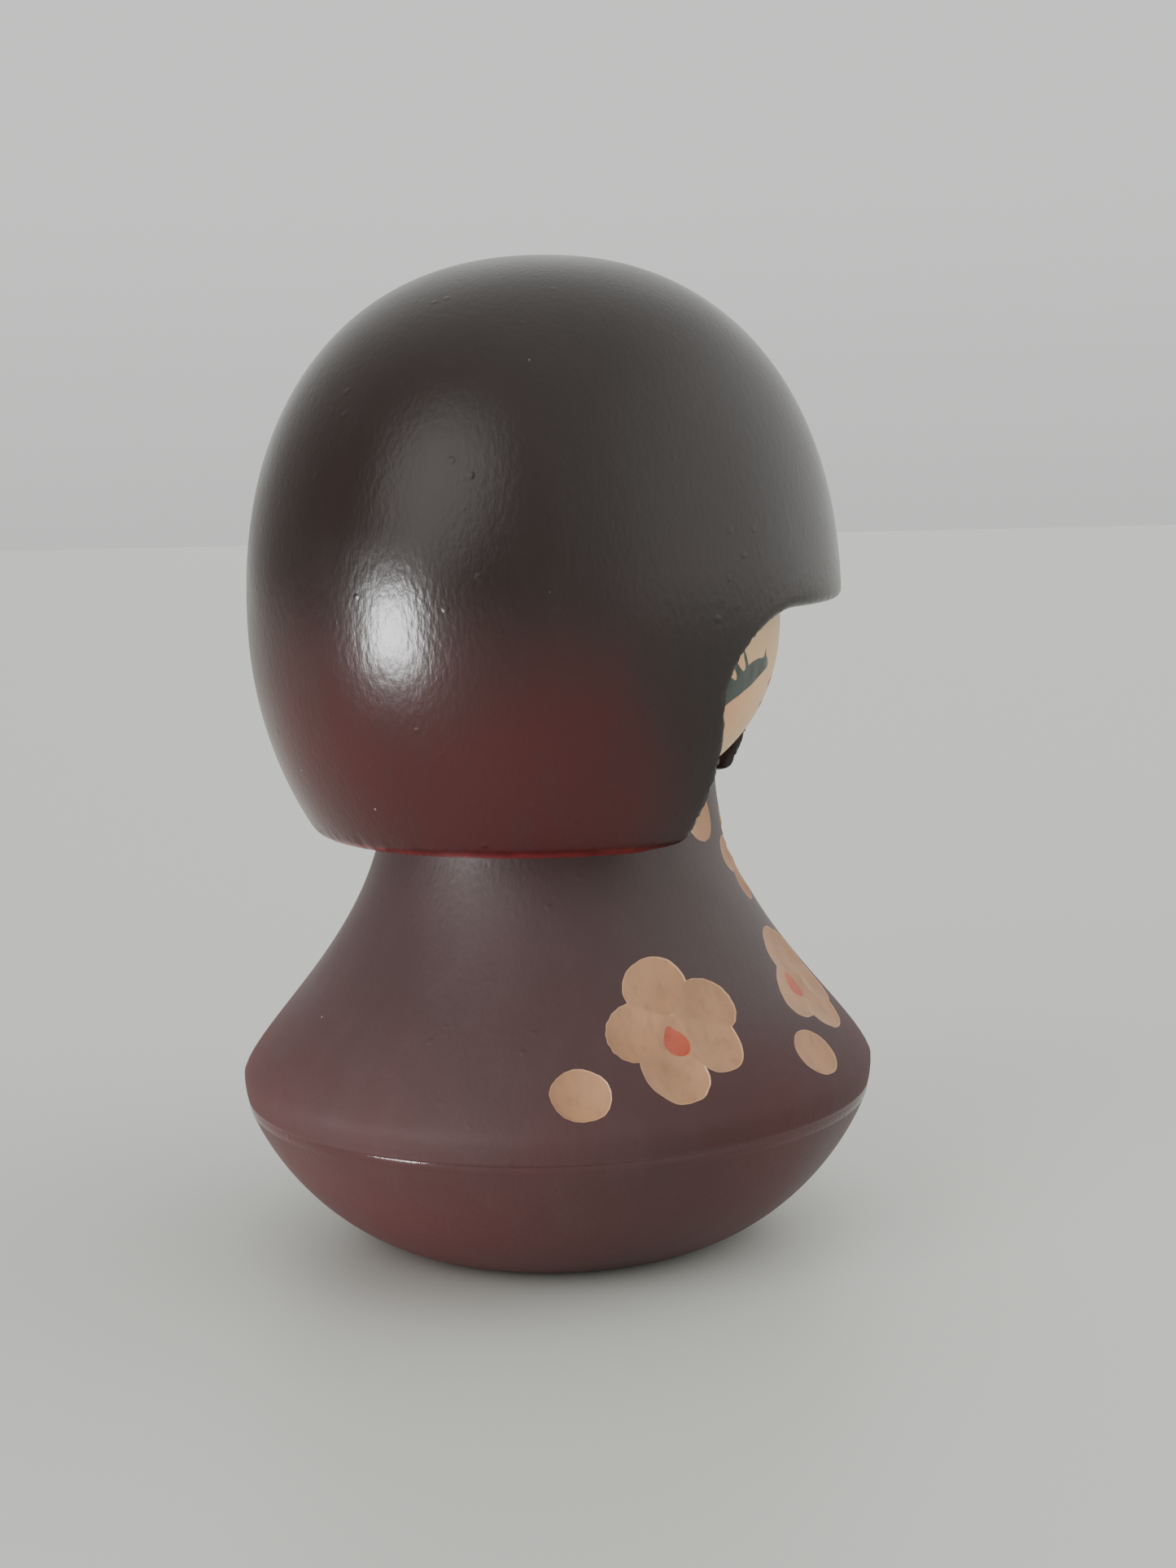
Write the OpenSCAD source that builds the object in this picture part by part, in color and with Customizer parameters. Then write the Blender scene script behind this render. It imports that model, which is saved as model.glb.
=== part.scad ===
// Kokeshi doll: a turned wooden body on a flat foot, and a head that turns on a dowel.
// Millimetres. The foot stands on z = 0, +Z is up and the doll faces -Y.

/* [Body] */
// Widest radius of the body, at its shoulder.
body_r = 32.6; // [30:0.1:36]
// Height of the body's widest level.
belly_z = 18; // [17:0.5:20]
// Height of the edge where the rounded shoulder meets the bowl.
edge_z = 15.5; // [14:0.1:16]
// How far that edge lies inside the widest radius.
edge_inset = 0.3; // [0.1:0.05:1]
// Step from the edge in to the bowl's rounded lip.
lip_step = 0.1; // [0.05:0.05:0.2]
// Radius of the flat foot.
foot_r = 16.1; // [14:0.1:20]
// Radius of the neck, where the head sits.
neck_r = 17; // [16:0.1:17.5]
// Height of the neck's flat top.
neck_z = 48.3; // [47:0.1:48.5]

/* [Head] */
// Radius of the face ball.
ball_r = 24; // [23:0.1:24.5]
// Height of the widest level of the ball and the hair.
head_z = 64.5; // [64:0.1:65]
// How far the chin would reach below that level if it weren't cut flat.
chin_drop = 20.3; // [20:0.1:21]
// How far the crown of the ball rises above that level.
crown_rise = 25; // [24:0.5:26]
// Gap between the chin's flat and the neck.
neck_gap = 0.3; // [0.3:0.1:0.5]

/* [Hair] */
// Widest radius of the hair.
hair_r = 30.2; // [29:0.1:31]
// Rise of the hair above its widest level.
hair_rise = 35.6; // [34:0.1:37]
// How far the hair's lower half would reach below it if it weren't cut off at the rim.
hair_drop = 36; // [35:0.5:38]
// Height of the rim's underside.
rim_z = 42.7; // [42:0.1:43]
// Radius of the rounding between the hair's outside and its rim.
rim_round = 2; // [1.5:0.1:3]
// How far the hair's hollow would reach below the widest level.
hollow_drop = 38; // [36:0.5:40]
// Half the width of the face opening, at its widest.
opening_w = 21.1; // [20:0.1:23]
// Half the width of the face opening, between the tips of the locks.
tips_w = 18.3; // [17:0.1:20]
// Height of the fringe's lower edge.
fringe_z = 65.3; // [65:0.1:67]
// Corner radius of the face opening.
corner_r = 7.6; // [7:0.1:11]
// Rounding of the lock tips' front corners.
tip_r = 1.4; // [1:0.1:4]
// How much higher the doll's left lock ends than its right one.
left_lock_rise = 2.7; // [0.5:0.1:3.5]

/* [Dowel] */
// Radius of the dowel.
dowel_r = 5; // [4:0.1:6]
// Running clearance between the dowel and the head's bore.
dowel_play = 0.05; // [0.02:0.01:0.09]
// Height of the dowel's lower end, inside the body.
dowel_z0 = 26; // [24:0.5:30]
// Height of the dowel's upper end, inside the head.
dowel_z1 = 62; // [60:0.5:66]

/* [Blossoms] */
// Radius of the round-nosed gouge that cut the petals.
gouge_r = 8; // [7:0.5:10]
// Depth of a petal's cut.
petal_cut = 0.6; // [0.4:0.1:0.8]
// Distance from a blossom's centre to its petals' centres.
petal_ring = 4.2; // [4:0.1:4.5]
// The same distance in the smaller blossom on the neck.
neck_petal_ring = 3; // [2.8:0.1:3.4]

/* [Hidden] */
$fn = 96;
eps = 1;
// Exponents that give the turned profiles their fullness.
bowl_fullness = 0.65;
bell_fullness = 0.65;
chin_fullness = 2.3;
crown_fullness = 2.25;
// The chin is cut flat just above the neck.
chin_z = neck_z + neck_gap;
edge_r = body_r - edge_inset;
// Height of the bowl's rounded lip, and how far the rounding draws it in at its top.
lip_h = 0.9;
lip_round = 0.27;
lip_r = edge_r - lip_step + lip_round;
// The bowl's wall follows this part of a sine's rise, in degrees.
bowl_arc = 64;
// Room left above the dowel's end.
bore_end_gap = 0.5;
// The cut under the left lock is level this far in front of the axis, and runs out as far behind.
trim_flat = 6;
// Lean of the hair's outside where the rim's rounding starts, in degrees.
rim_lean = 30;
// Height where the rounding starts.
rim_top = rim_z + rim_round * (1 - sin(rim_lean));
// Radius of the circle on which the rounding's centre lies.
rim_r = oval_r(hair_r, hair_drop, rim_top - head_z, 2) - rim_round * cos(rim_lean);
// Blossoms as [turn from the face towards the doll's right, height, ring of the petals].
blossoms = [
    [56.5, 25.4, petal_ring],
    [10.3, 26.7, petal_ring],
    [-46, 25.6, petal_ring],
    [-5, 38.9, neck_petal_ring]
];
// Single petals as [turn, height].
petals = [[77.2, 21.6], [24.3, 21.6], [22.5, 44.3], [-27, 21.8], [-69, 23]];

// Radius of the bowl between the foot and the edge under the shoulder.
function bowl_r(z) =
    foot_r + (lip_r - foot_r) * sin(bowl_arc * pow(z / edge_z, bowl_fullness)) / sin(bowl_arc)
    - lip_round * pow(max(0, z - edge_z + lip_h) / lip_h, 2);

// Radius of the rounded shoulder between that edge and the widest level.
function shoulder_r(z) = body_r - edge_inset * pow((belly_z - z) / (belly_z - edge_z), 2);

// Radius of the bell between the widest level and the neck.
function bell_r(z) =
    let (w = pow((z - belly_z) / (neck_z - belly_z), bell_fullness))
    neck_r + (body_r - neck_r) * (1 + cos(180 * w)) / 2;

// How steeply the bell's wall leans in, in degrees from upright.
function bell_lean(z) = atan(bell_r(z - 0.5) - bell_r(z + 0.5));

// Radius of a superellipse of half-width r and half-height h, at distance d from its centre.
function oval_r(r, h, d, n) = r * pow(max(0, 1 - pow(abs(d) / h, n)), 1 / n);

// A point of such an outline, a fraction f of the way from the head's widest level to z.
function oval_point(r, h, n, z, f) =
    let (d = (z - head_z) * sin(90 * f))
    [oval_r(r, h, d, n), head_z + d];

// A place on the bell's surface, and the way out of it.
module on_bell(turn, z) {
    rotate([0, 0, -90 - turn])
        translate([bell_r(z), 0, z])
        rotate([0, 90 - bell_lean(z), 0])
        children();
}

// One scoop of the gouge.
module scoop(turn, z) {
    on_bell(turn, z)
        translate([0, 0, gouge_r - petal_cut])
        sphere(gouge_r);
}

// Five petals round a centre, each moved along the surface.
module blossom(turn, z, ring) {
    for (a = [0 : 72 : 288]) {
        z_a = z + ring * cos(a) * cos(bell_lean(z));
        scoop(turn + ring * sin(a) / bell_r(z_a) * 180 / PI, z_a);
    }
}

// The body: foot, bowl, shoulder, bell and neck, with the dowel's hole.
module body() {
    color([0.16, 0.08, 0.08])
        difference() {
            rotate_extrude()
                polygon(concat(
                    [[0, 0]],
                    [for (i = [0 : 11]) let (z = (edge_z - lip_h) * pow(i / 11, 1.5)) [bowl_r(z), z]],
                    [for (i = [1 : 3]) let (z = edge_z - lip_h + lip_h * i / 3) [bowl_r(z), z]],
                    [for (i = [0 : 3]) let (z = edge_z + (belly_z - edge_z) * i / 3)
                        [shoulder_r(z), z]],
                    [for (i = [1 : 22]) let (z = belly_z + (neck_z - belly_z) * i / 22)
                        [bell_r(z), z]],
                    [[0, neck_z]]
                ));
            translate([0, 0, dowel_z0])
                cylinder(h = neck_z - dowel_z0 + eps, r = dowel_r);
            for (b = blossoms)
                blossom(b[0], b[1], b[2]);
            for (p = petals)
                scoop(p[0], p[1]);
        }
}

// The dowel: pressed into the body, and the head turns on its upper half.
module neck_dowel() {
    color([0.76, 0.62, 0.45])
        translate([0, 0, dowel_z0])
        cylinder(h = dowel_z1 - dowel_z0, r = dowel_r);
}

// The head: a ball with the face, cut flat under the chin and bored for the dowel.
module head_ball() {
    color([0.73, 0.6, 0.5])
        difference() {
            rotate_extrude()
                polygon(concat(
                    [[0, head_z], [0, chin_z]],
                    [for (i = [0 : 14]) oval_point(ball_r, chin_drop, chin_fullness, chin_z, 1 - i / 14)],
                    [for (i = [1 : 14])
                        oval_point(ball_r, crown_rise, 2, head_z + crown_rise, i / 14)]
                ));
            translate([0, 0, chin_z - eps])
                cylinder(h = dowel_z1 - chin_z + eps + bore_end_gap, r = dowel_r + dowel_play);
        }
}

// The turned shell of the hair, before the face opening is cut.
module hair_shell() {
    rotate_extrude()
        difference() {
            polygon(concat(
                [[0, rim_z]],
                [for (i = [0 : 6]) let (a = 90 - (90 - rim_lean) * i / 6)
                    [rim_r + rim_round * cos(a), rim_z + rim_round * (1 - sin(a))]],
                [for (i = [1 : 14])
                    oval_point(hair_r, hair_drop, 2, rim_top, 1 - i / 14)],
                [for (i = [1 : 22])
                    oval_point(hair_r, hair_rise, crown_fullness, head_z + hair_rise, i / 22)]
            ));
            polygon(concat(
                [[0, rim_z - eps]],
                [for (i = [0 : 12])
                    oval_point(ball_r, hollow_drop, 2, rim_z - eps, 1 - i / 12)],
                [for (i = [1 : 14])
                    oval_point(ball_r, crown_rise, 2, head_z + crown_rise, i / 14)]
            ));
        }
}

// The face opening: straight locks, rounded corners under the fringe, and rounded lock tips.
module face_opening() {
    corner_z = fringe_z - corner_r;
    rotate([90, 0, 0])
        linear_extrude(height = hair_r + eps) {
            for (side = [-1, 1])
                translate([side * (opening_w - corner_r), corner_z])
                circle(r = corner_r);
            polygon([
                [corner_r - opening_w, fringe_z], [opening_w - corner_r, fringe_z],
                [opening_w, corner_z], [tips_w, rim_z + tip_r],
                [tips_w + tip_r, rim_z], [tips_w + tip_r, rim_z - eps],
                [-tips_w - tip_r, rim_z - eps], [-tips_w - tip_r, rim_z],
                [-tips_w, rim_z + tip_r], [-opening_w, corner_z]
            ]);
        }
}

// The cut under the left lock: level at its tip, then slanting down to end behind the doll's side.
module left_lock_trim() {
    rotate([90, 0, 90])
        linear_extrude(height = hair_r + eps)
        polygon([
            [trim_flat, rim_z], [trim_flat, rim_z - eps], [-hair_r, rim_z - eps],
            [-hair_r, rim_z + left_lock_rise], [-trim_flat, rim_z + left_lock_rise]
        ]);
}

// The hair: a hollow cap over the ball, with its fringe and its two side locks.
module hair_cap() {
    color([0.13, 0.08, 0.07])
        difference() {
            hair_shell();
            face_opening();
            left_lock_trim();
        }
}

body();
neck_dowel();
head_ball();
hair_cap();
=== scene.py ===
"""Looks of the kokeshi doll: carved and lacquered body, painted face, lacquered hair.

Shapes are worked out in millimetres in the doll's own frame (foot on z = 0, face towards -Y)
and go to Blender in metres. A place on a turned surface is given by its turn, in degrees from
the face towards the doll's right side, and by its height.
"""

import math

import bpy
import numpy as np
from mathutils import Matrix, Vector
from mathutils.geometry import delaunay_2d_cdt


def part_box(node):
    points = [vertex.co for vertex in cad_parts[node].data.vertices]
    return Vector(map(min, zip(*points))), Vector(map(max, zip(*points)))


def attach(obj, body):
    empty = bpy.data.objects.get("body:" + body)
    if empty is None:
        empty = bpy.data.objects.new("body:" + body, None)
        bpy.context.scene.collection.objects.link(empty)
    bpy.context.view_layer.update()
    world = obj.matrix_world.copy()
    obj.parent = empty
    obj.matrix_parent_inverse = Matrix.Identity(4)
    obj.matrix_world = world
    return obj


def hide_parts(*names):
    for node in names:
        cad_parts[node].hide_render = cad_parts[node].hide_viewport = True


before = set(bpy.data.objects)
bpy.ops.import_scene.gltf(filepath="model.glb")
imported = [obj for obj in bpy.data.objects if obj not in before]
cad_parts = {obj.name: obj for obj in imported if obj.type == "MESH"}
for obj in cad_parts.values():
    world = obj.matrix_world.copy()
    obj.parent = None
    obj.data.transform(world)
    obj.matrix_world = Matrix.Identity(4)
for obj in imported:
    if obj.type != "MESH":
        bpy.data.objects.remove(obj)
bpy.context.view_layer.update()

MM = 0.001


def box_mm(node):
    """Lowest and highest corners of a CAD node, in millimetres."""
    low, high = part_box(node)
    return np.array(low) / MM, np.array(high) / MM


# ---------------------------------------------------------------- camera

CAMERA_AZIMUTH = -81.0  # from the doll's front, towards its right side
CAMERA_DISTANCE = 250.0
CAMERA_HEIGHT = 80.7
CAMERA_YAW = 0.9  # how far the camera looks to the right of the doll's axis
CAMERA_PITCH = 7.79  # how far it looks down
CAMERA_ROLL = -1.58
CAMERA_LENS = 56.05


def make_camera():
    """The photograph's camera, as a turn, a tilt and a roll about the doll's axis."""
    yaw, pitch, roll = (math.radians(a) for a in (CAMERA_YAW, CAMERA_PITCH, CAMERA_ROLL))
    forward = Vector((math.sin(yaw) * math.cos(pitch), math.cos(yaw) * math.cos(pitch), -math.sin(pitch)))
    right = Vector((math.cos(yaw), -math.sin(yaw), 0))
    up = right.cross(forward)
    right, up = (
        right * math.cos(roll) + up * math.sin(roll),
        up * math.cos(roll) - right * math.sin(roll),
    )
    axes = Matrix((right, up, -forward)).transposed().to_4x4()
    place = Matrix.Translation(Vector((0, -CAMERA_DISTANCE, CAMERA_HEIGHT)) * MM)
    data = bpy.data.cameras.new("camera")
    data.lens = CAMERA_LENS
    data.sensor_width = 36
    data.sensor_fit = "AUTO"
    data.clip_start = 0.01
    camera = bpy.data.objects.new("camera", data)
    camera.matrix_world = Matrix.Rotation(math.radians(CAMERA_AZIMUTH), 4, "Z") @ place @ axes
    bpy.context.scene.collection.objects.link(camera)
    bpy.context.scene.camera = camera


make_camera()

# ---------------------------------------------------------------- turned profiles

body_low, body_high = box_mm("body")
ball_low, ball_high = box_mm("head_ball")
hair_low, hair_high = box_mm("hair_cap")
dowel_low, dowel_high = box_mm("neck_dowel")

BODY_R = body_high[0]
NECK_Z = body_high[2]
NECK_R = 17.0
BELLY_Z = 18.0
EDGE_Z = 15.5
EDGE_R = BODY_R - 0.3
LIP_H = 0.9
LIP_ROUND = 0.27
LIP_R = EDGE_R - 0.1 + LIP_ROUND
FOOT_R = 16.1
BOWL_ARC = math.radians(64)
SWEEP = 0.65  # how early the bowl and the bell take up their curve
DOWEL_R = dowel_high[0]
DOWEL_FLOOR = dowel_low[2]
BORE_R = DOWEL_R + 0.05
BORE_TOP = dowel_high[2] + 0.5

BALL_R = ball_high[0]
CHIN_Z = ball_low[2]
CROWN_Z = ball_high[2]
HEAD_Z = 64.5
CHIN_DROP = 20.3
CHIN_FULL = 2.3  # exponent of the chin's superellipse; 2 is an ellipse

HAIR_R = hair_high[0]
HAIR_TOP = hair_high[2]
RIM_Z = hair_low[2]
HAIR_DROP = 36.0
HAIR_FULL = 2.25  # exponent of the hair's upper half
RIM_ROUND = 2.0
RIM_LEAN = math.radians(30)  # lean of the hair's outside where the rim's rounding starts
HOLLOW_DROP = 38.0
INNER_ROUND = 0.8  # rounding of the rim towards the hollow


def oval_r(r, h, z, n):
    """Radius at height z of a superellipse round the head's widest level."""
    return r * np.maximum(0, 1 - (np.abs(z - HEAD_Z) / h) ** n) ** (1 / n)


def bell_r(z):
    """Radius of the body between its widest level and the neck."""
    w = (np.maximum(z - BELLY_Z, 0) / (NECK_Z - BELLY_Z)) ** SWEEP
    return NECK_R + (BODY_R - NECK_R) * (1 + np.cos(np.pi * w)) / 2


def body_outline():
    """Outline of the body from the foot's centre to the bottom of the dowel's hole."""
    z = (EDGE_Z - LIP_H) * np.linspace(0, 1, 50) ** 1.5
    z = np.concatenate((z, np.linspace(EDGE_Z - LIP_H, EDGE_Z, 12)[1:]))
    rise = np.sin(BOWL_ARC * (z / EDGE_Z) ** SWEEP) / math.sin(BOWL_ARC)
    lip = LIP_ROUND * (np.maximum(0, z - EDGE_Z + LIP_H) / LIP_H) ** 2
    bowl = np.column_stack((FOOT_R + (LIP_R - FOOT_R) * rise - lip, z))
    z = np.linspace(EDGE_Z, BELLY_Z, 14)
    drop = (BELLY_Z - z) / (BELLY_Z - EDGE_Z)
    shoulder = np.column_stack((BODY_R - (BODY_R - EDGE_R) * drop**2, z))
    z = BELLY_Z + (NECK_Z - BELLY_Z) * np.linspace(0, 1, 90)[1:] ** 1.3
    bell = np.column_stack((bell_r(z), z))
    top = [(DOWEL_R, NECK_Z), (DOWEL_R, DOWEL_FLOOR), (0, DOWEL_FLOOR)]
    return np.vstack(([(0, 0)], bowl, shoulder, bell, top))


def ball_outline():
    """Outline of the head from the top of the dowel's bore to its crown."""
    bore = [(0, BORE_TOP), (BORE_R, BORE_TOP), (BORE_R, CHIN_Z)]
    z = HEAD_Z - (HEAD_Z - CHIN_Z) * np.cos(np.linspace(0, np.pi / 2, 60))
    chin = np.column_stack((oval_r(BALL_R, CHIN_DROP, z, CHIN_FULL), z))
    z = HEAD_Z + (CROWN_Z - HEAD_Z) * np.sin(np.linspace(0, np.pi / 2, 60))[1:]
    crown = np.column_stack((oval_r(BALL_R, CROWN_Z - HEAD_Z, z, 2), z))
    return np.vstack((bore, chin, crown))


class Turned:
    """A turned surface. s is the distance along its outline, in millimetres."""

    def __init__(self, outline):
        step = np.hypot(*np.diff(outline, axis=0).T)
        self.keep = np.concatenate(([True], step > 1e-9))
        outline = outline[self.keep]
        self.r, self.z = outline.T
        self.s = np.concatenate(([0], np.cumsum(np.hypot(*np.diff(outline, axis=0).T))))

    def s_at(self, z, outside_of):
        """Distance along the outline of a height, on the stretch outside a radius."""
        on = np.flatnonzero(self.r > outside_of)
        return np.interp(z, self.z[on], self.s[on])

    def points(self, turn, s, sunk=0.0):
        """Points at a turn and a distance, sunk below the surface."""
        r, z = np.interp(s, self.s, self.r), np.interp(s, self.s, self.z)
        half = 0.15
        dr = np.interp(s + half, self.s, self.r) - np.interp(s - half, self.s, self.r)
        dz = np.interp(s + half, self.s, self.z) - np.interp(s - half, self.s, self.z)
        length = np.maximum(np.hypot(dr, dz), 1e-9)
        r, z = r - sunk * dz / length, z + sunk * dr / length
        angle = np.radians(turn)
        return np.column_stack((-np.sin(angle) * r, -np.cos(angle) * r, z))


# ---------------------------------------------------------------- carved and painted shapes


class Spot:
    """A rounded shape lying on a turned surface: an oval with a slightly uneven edge.

    across and along are its half-sizes; lean turns it clockwise, as seen from outside with
    up at the top. point is how far the upper end is drawn out, as a share of along.
    """

    POINT_ARC = 0.35  # radians over which that end is drawn out

    def __init__(self, surface, turn, s, across, along, lean=0.0, point=0.0, uneven=0.02, seed=0):
        self.turn, self.s = turn, s
        self.radius = float(np.interp(s, surface.s, surface.r))
        self.across, self.along, self.lean, self.point = across, along, math.radians(lean), point
        dice = np.random.default_rng(seed)
        self.waves = [
            (k, uneven * dice.normal() / k**0.5, dice.uniform(0, 2 * np.pi)) for k in (2, 3, 5, 8, 13, 19)
        ]

    def near(self, turn, s):
        """Places close enough to be worth measuring."""
        return (np.abs(s - self.s) < 8) & (np.abs(turn - self.turn) < 30)

    def reach(self, turn, s):
        """0 at the centre, 1 on the edge and more outside."""
        x = np.radians(turn - self.turn) * -self.radius
        y = s - self.s
        a = (x * math.cos(self.lean) - y * math.sin(self.lean)) / self.across
        b = (x * math.sin(self.lean) + y * math.cos(self.lean)) / self.along
        angle = np.arctan2(a, b)
        edge = 1 + self.point * np.exp(-((angle / self.POINT_ARC) ** 2))
        for k, size, phase in self.waves:
            edge = edge + size * np.sin(k * angle + phase)
        return np.hypot(a, b) / edge

    def ring(self, share, count):
        """Points round the shape at a share of its reach, as (turn, s)."""
        angle = np.linspace(0, 2 * np.pi, count, endpoint=False)
        from_top = (angle + np.pi) % (2 * np.pi) - np.pi
        edge = 1 + self.point * np.exp(-((from_top / self.POINT_ARC) ** 2))
        for k, size, phase in self.waves:
            edge = edge + size * np.sin(k * angle + phase)
        a = np.sin(angle) * edge * share * self.across
        b = np.cos(angle) * edge * share * self.along
        x = a * math.cos(self.lean) + b * math.sin(self.lean)
        y = -a * math.sin(self.lean) + b * math.cos(self.lean)
        return np.column_stack((self.turn - np.degrees(x / self.radius), self.s + y))


body_surface = Turned(body_outline())
ball_surface = Turned(ball_outline())


def on_body(z):
    return float(body_surface.s_at(z, DOWEL_R + 8))


def petal(turn, z, right, up, across, along, lean, seed):
    """A petal, placed a few millimetres to the right of and above a point on the body."""
    s = on_body(z)
    radius = float(np.interp(s + up, body_surface.s, body_surface.r))
    return Spot(body_surface, turn - math.degrees(right / radius), s + up, across, along, lean, seed=seed)


def blossom(turn, z, petals, seed):
    """A blossom of petals given as (right, up, half-width, half-length, lean)."""
    return [petal(turn, z, *shape, seed=seed + k) for k, shape in enumerate(petals)]


# Most petals that the photo shows follow ovals fitted to outlines traced in it. The rest are set
# in the same style.
SIDE_BLOSSOM = (56.5, 25.4)
FRONT_BLOSSOM = (10.3, 26.7)
LEFT_BLOSSOM = (-46.0, 25.6)
NECK_BLOSSOM = (-5.0, 38.9)
petals = (
    blossom(
        *SIDE_BLOSSOM,
        [
            (-0.4, 5.5, 3.45, 3.15, -24),
            (4.1, 2.8, 3.65, 3.0, 7),
            (3.7, -0.6, 3.0, 3.75, -10),
            (-1.3, -3.25, 3.05, 3.75, -40),
            (-3.5, 1.1, 3.45, 3.05, -32),
        ],
        seed=10,
    )
    + blossom(
        *FRONT_BLOSSOM,
        [
            (1.4, 3.45, 3.8, 3.25, -15),
            (4.6, 2.6, 3.1, 3.0, 20),
            (4.7, -0.7, 3.1, 3.0, -20),
            (1.0, -2.7, 3.75, 3.1, 14),
            (-2.0, -0.2, 3.85, 2.9, -30),
        ],
        seed=20,
    )
    + blossom(
        *LEFT_BLOSSOM,
        [
            (0.3, 4.6, 3.4, 3.3, 10),
            (3.9, 1.9, 3.2, 3.5, 60),
            (2.7, -2.3, 3.2, 3.4, -40),
            (-2.2, -2.8, 3.1, 3.6, 30),
            (-3.9, 1.2, 3.4, 3.1, -15),
        ],
        seed=30,
    )
    + blossom(
        *NECK_BLOSSOM,
        [
            (-0.2, 3.0, 2.1, 2.3, 0),
            (2.7, 1.1, 2.2, 2.4, 60),
            (1.8, -2.0, 2.2, 2.4, -30),
            (-1.7, -2.3, 2.3, 2.5, 30),
            (-3.0, 0.6, 2.1, 2.4, -70),
        ],
        seed=40,
    )
    + [
        petal(77.2, 21.6, 0, 0, 2.9, 2.65, 20, seed=50),
        petal(24.3, 21.6, 0, 0, 3.05, 2.55, 21, seed=51),
        petal(20.6, 43.2, -0.6, 1.2, 2.5, 2.9, -35, seed=52),
        petal(-27.0, 21.8, 0, 0, 2.7, 2.4, 35, seed=53),
        petal(-69.0, 23.0, 0, 0, 2.9, 2.5, -10, seed=54),
    ]
)
# A shallow cut joins the petals at each blossom's middle.
petals += [petal(*place, 0, 0, size, size, 0, seed=56) for place, size in (
    (SIDE_BLOSSOM, 2.6), (FRONT_BLOSSOM, 2.3), (LEFT_BLOSSOM, 2.3), (NECK_BLOSSOM, 1.7)
)]


def drop(turn, z, right, up, across, along, lean, seed):
    spot = petal(turn, z, right, up, across, along, lean, seed)
    spot.point = 0.35
    return spot


drops = [
    drop(*SIDE_BLOSSOM, 0.05, -0.35, 1.3, 1.45, -14, seed=60),
    drop(*FRONT_BLOSSOM, -0.4, 0.2, 1.15, 1.35, -6, seed=61),
    drop(*LEFT_BLOSSOM, 0.0, -0.2, 1.25, 1.45, -6, seed=62),
    drop(*NECK_BLOSSOM, -0.4, 0.1, 0.9, 1.1, 0, seed=63),
]

PETAL_CUT = 0.55  # depth of a petal at its middle
PETAL_EDGE = 0.07  # the lacquer's thickness, seen all round a petal
EDGE_SHARE = 0.965  # reach at which that edge ends


def carved_depth(turn, s):
    """How deep the petals' cuts go at a place on the body."""
    depth = np.zeros(len(turn))
    for p in petals:
        near = p.near(turn, s)
        q = p.reach(turn[near], s[near])
        cut = PETAL_CUT * np.maximum(0, 1 - q**2) + PETAL_EDGE * np.clip((1 - q) / (1 - EDGE_SHARE), 0, 1)
        depth[near] = np.maximum(depth[near], cut)
    return depth


def inside_any(spots, turn, s, share=1.0):
    inside = np.zeros(len(turn), bool)
    for p in spots:
        near = p.near(turn, s)
        inside[near] |= p.reach(turn[near], s[near]) < share
    return inside


# ---------------------------------------------------------------- meshes

SHARP_ANGLE = 32  # degrees between two faces
CORNER_ANGLE = 0.3  # radians; an outline that bends more at a point gets a ring there


def add_object(name, mesh, body, node):
    obj = bpy.data.objects.new(name, mesh)
    bpy.context.scene.collection.objects.link(obj)
    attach(obj, body)
    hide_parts(node)
    return obj


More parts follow.
